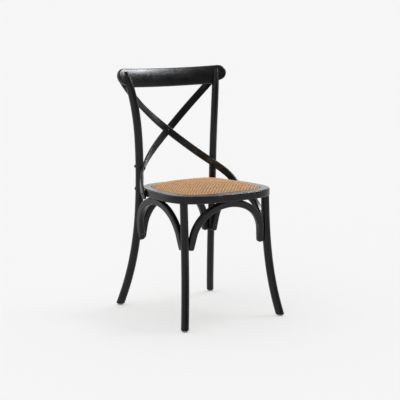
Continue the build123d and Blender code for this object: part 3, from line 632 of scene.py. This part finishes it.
def rattan(weave):
    """Dry natural rattan: each splint lighter or darker by its own random tone and by the painted shade on
    the splints across, with fine fibres along it.
    """
    material, tree, shader, place = new_material("rattan splint")
    # The tone attribute holds each splint's random tone and the painted shade of the splints across
    tone_and_shade = add(tree, "ShaderNodeAttribute", {"attribute_name": "tone_and_shade"}).outputs["Fac"]
    run = add(tree, "ShaderNodeUVMap", {"uv_map": "splint"}).outputs[0]
    fibres = vectors(tree, "MULTIPLY", run, (60.0, 7.0, 0.0))["Vector"]
    shifted = add(tree, "ShaderNodeCombineXYZ", None, {"Z": maths(tree, "MULTIPLY", tone_and_shade, 90.0)}).outputs[0]
    fibres = vectors(tree, "ADD", fibres, shifted)["Vector"]
    fibre = noise(tree, fibres, scale=1.0, detail=4.0, roughness=0.65)
    patches = noise(tree, place, scale=16.0, detail=3.0)
    share = maths(tree, "MULTIPLY_ADD", tone_and_shade, 0.9, maths(tree, "MULTIPLY", fibre, 0.3))
    share = maths(tree, "MULTIPLY_ADD", patches, 0.15, share)
    colour = blend_colours(tree, ramp(tree, share, low=0.25, high=0.95), weave.light, weave.dark)
    tree.links.new(colour, shader.inputs["Base Color"])
    tree.links.new(uneven_gloss(tree, place, RATTAN_GLOSS), shader.inputs["Roughness"])
    shader.inputs["Specular IOR Level"].default_value = RATTAN_SPECULAR
    bump(tree, shader, fibre, distance=0.00012, strength=0.5)
    return material


class CHAIR_OT_weave_seat(bpy.types.Operator):
    """Weave the rattan panel over the crown of the seat"""

    bl_idname = "chair.weave_seat"
    bl_label = "Weave the seat"

    def execute(self, context):
        settings = context.scene.chair_weave
        panel = Weave(settings).build()
        panel.data.materials.append(rattan(settings))
        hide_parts("rattan_seat")
        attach(panel, "root")
        return {"FINISHED"}


def felt():
    """Brown needled felt with a soft nap."""
    material, tree, shader, place = new_material("pad felt")
    nap = noise(tree, place, scale=520.0, detail=5.0, roughness=0.7)
    colour = blend_colours(tree, ramp(tree, nap, low=0.35, high=0.65), FELT_DARK, FELT_LIGHT)
    tree.links.new(colour, shader.inputs["Base Color"])
    shader.inputs["Roughness"].default_value = FELT_ROUGHNESS
    bump(tree, shader, nap, distance=0.0004, strength=0.6)
    return material


def plywood():
    """Raw plywood with long brown grain."""
    material, tree, shader, place = new_material("board plywood")
    lines = use_group(tree, open_grain, {"Place": place, "Fineness": 0.8})
    colour = blend_colours(tree, lines["Streaks"], PLYWOOD_LIGHT, PLYWOOD_DARK)
    tree.links.new(colour, shader.inputs["Base Color"])
    tree.links.new(uneven_gloss(tree, place, PLYWOOD_GLOSS), shader.inputs["Roughness"])
    bump(tree, shader, lines["Pores"], distance=0.0002, strength=0.4)
    return material


class CHAIR_OT_pad_seat(bpy.types.Operator):
    """Lay the felt pad on the plywood board under the weave"""

    bl_idname = "chair.pad_seat"
    bl_label = "Pad the seat"

    def execute(self, context):
        dress(["seat_board"], plywood())
        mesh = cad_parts["seat_pad"].data.copy()
        mesh.name = "felt_pad"
        mesh.materials.clear()
        mesh.materials.append(felt())
        pad = bpy.data.objects.new("felt_pad", mesh)
        context.scene.collection.objects.link(pad)
        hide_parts("seat_pad")
        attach(pad, "root")
        return {"FINISHED"}


def set_camera(context):
    """Stands the camera where the photograph was taken from."""
    level = cos(VIEW_ELEVATION)
    back = Vector((sin(VIEW_AZIMUTH) * level, -cos(VIEW_AZIMUTH) * level, sin(VIEW_ELEVATION)))
    right = Vector((cos(VIEW_AZIMUTH), sin(VIEW_AZIMUTH), 0.0))
    up = back.cross(right)
    rolled_right = right * cos(VIEW_ROLL) + up * sin(VIEW_ROLL)
    rolled_up = up * cos(VIEW_ROLL) - right * sin(VIEW_ROLL)
    data = bpy.data.cameras.new("camera")
    data.sensor_width = VIEW_SENSOR
    data.lens = VIEW_LENS
    data.shift_x = VIEW_SHIFT
    data.clip_end = VIEW_END
    camera = bpy.data.objects.new("camera", data)
    turn = Matrix((rolled_right, rolled_up, back)).transposed().to_4x4()
    camera.matrix_world = Matrix.Translation(VIEW_TARGET + back * VIEW_DISTANCE) @ turn
    context.scene.collection.objects.link(camera)
    context.scene.camera = camera


def place_lamp(context, data, way):
    """Hangs a lamp on one side of the chair, turned to it."""
    lamp = bpy.data.objects.new(data.name, data)
    turn = (-way).to_track_quat("-Z", "Y").to_matrix().to_4x4()
    lamp.matrix_world = Matrix.Translation(VIEW_TARGET + way.normalized() * LAMP_DISTANCE) @ turn
    context.scene.collection.objects.link(lamp)
    return lamp


def set_lamps(context, stage):
    """A soft sun high on the right, and a card that shines in the paint without lighting what is matt."""
    sun = bpy.data.lights.new("key", "SUN")
    sun.energy = stage.key
    sun.angle = stage.key_spread
    place_lamp(context, sun, KEY_WAY)
    area = bpy.data.lights.new("card", "AREA")
    area.energy = stage.card
    area.color = CARD_TINT
    area.size = CARD_SIZE
    card = place_lamp(context, area, CARD_WAY)
    card.visible_diffuse = False
    card.visible_camera = False


def set_world(context, stage):
    """A white surround that is brightest low at the back and dark in front."""
    world = bpy.data.worlds.new("studio")
    world.use_nodes = True
    tree = world.node_tree
    tree.nodes.clear()
    way = add(tree, "ShaderNodeTexCoord").outputs["Generated"]
    parts = add(tree, "ShaderNodeSeparateXYZ", None, {"Vector": way}).outputs
    around = ramp(tree, parts["Y"], *BACK_SPAN, stage.walls, stage.back)
    above = ramp(tree, parts["Z"], *SKY_SPAN)
    level = add(tree, "ShaderNodeMix", {"data_type": "FLOAT"}, {0: above, 2: around, 3: stage.sky}).outputs[0]
    facing = vectors(tree, "DOT_PRODUCT", way, DARK_WAY.normalized())["Value"]
    level = maths(tree, "MULTIPLY", level, ramp(tree, facing, *DARK_SPAN, 1.0, stage.front))
    light = add(tree, "ShaderNodeBackground", None, {"Strength": level})
    add(tree, "ShaderNodeOutputWorld", None, {"Surface": light.outputs[0]})
    context.scene.world = world


def set_floor(context, stage):
    """A wide pale floor, seen at its own colour with a light shadow on it."""
    material = bpy.data.materials.new("floor")
    material.use_nodes = True
    tree = material.node_tree
    tree.nodes.clear()
    colour = (*stage.floor, 1.0)
    lit = add(tree, "ShaderNodeBsdfDiffuse", None, {"Color": colour}).outputs[0]
    plain = add(tree, "ShaderNodeEmission", None, {"Color": colour}).outputs[0]
    rays = add(tree, "ShaderNodeLightPath").outputs
    seen = maths(tree, "ADD", maths(tree, "ADD", rays["Is Camera Ray"], rays["Is Glossy Ray"]),
                 rays["Is Transmission Ray"])
    share = maths(tree, "MULTIPLY", seen, 1.0 - stage.shadow)
    mixed = add(tree, "ShaderNodeMixShader", None, {0: share, 1: lit, 2: plain}).outputs[0]
    add(tree, "ShaderNodeOutputMaterial", None, {"Surface": mixed})
    mesh = bpy.data.meshes.new("floor")
    corners = [(x * FLOOR_REACH, y * FLOOR_REACH, 0.0) for x, y in ((-1, -1), (1, -1), (1, 1), (-1, 1))]
    mesh.from_pydata(corners, [], [(0, 1, 2, 3)])
    mesh.materials.append(material)
    floor = bpy.data.objects.new("floor", mesh)
    context.scene.collection.objects.link(floor)


class CHAIR_OT_set_stage(bpy.types.Operator):
    """Set the floor, the backdrop, the lamps and the camera"""

    bl_idname = "chair.set_stage"
    bl_label = "Set the stage"

    def execute(self, context):
        stage = context.scene.chair_stage
        set_world(context, stage)
        set_floor(context, stage)
        set_lamps(context, stage)
        set_camera(context)
        context.scene.view_settings.view_transform = "Standard"
        return {"FINISHED"}


class CHAIR_PT_panel(bpy.types.Panel):
    """The chair's steps in the sidebar of the 3D view"""

    bl_idname = "CHAIR_PT_panel"
    bl_label = "Chair"
    bl_space_type = "VIEW_3D"
    bl_region_type = "UI"
    bl_category = "Chair"

    def draw(self, context):
        for settings in (context.scene.chair_paint, context.scene.chair_weave, context.scene.chair_stage):
            for name in settings.__annotations__:
                self.layout.prop(settings, name)
        for step in STEPS:
            self.layout.operator(step.bl_idname)


SETTINGS = (ChairPaint, ChairWeave, ChairStage)
STEPS = (CHAIR_OT_paint_wood, CHAIR_OT_finish_hardware, CHAIR_OT_finish_feet, CHAIR_OT_weave_seat,
         CHAIR_OT_pad_seat, CHAIR_OT_set_stage)


def register():
    for each in (*SETTINGS, *STEPS, CHAIR_PT_panel):
        bpy.utils.register_class(each)
    bpy.types.Scene.chair_paint = bpy.props.PointerProperty(type=ChairPaint)
    bpy.types.Scene.chair_weave = bpy.props.PointerProperty(type=ChairWeave)
    bpy.types.Scene.chair_stage = bpy.props.PointerProperty(type=ChairStage)


def unregister():
    del bpy.types.Scene.chair_stage
    del bpy.types.Scene.chair_weave
    del bpy.types.Scene.chair_paint
    for each in (CHAIR_PT_panel, *reversed(STEPS), *reversed(SETTINGS)):
        bpy.utils.unregister_class(each)


def main():
    register()
    bpy.ops.chair.paint_wood()
    bpy.ops.chair.finish_hardware()
    bpy.ops.chair.finish_feet()
    bpy.ops.chair.weave_seat()
    bpy.ops.chair.pad_seat()
    bpy.ops.chair.set_stage()


if __name__ == "__main__":
    main()
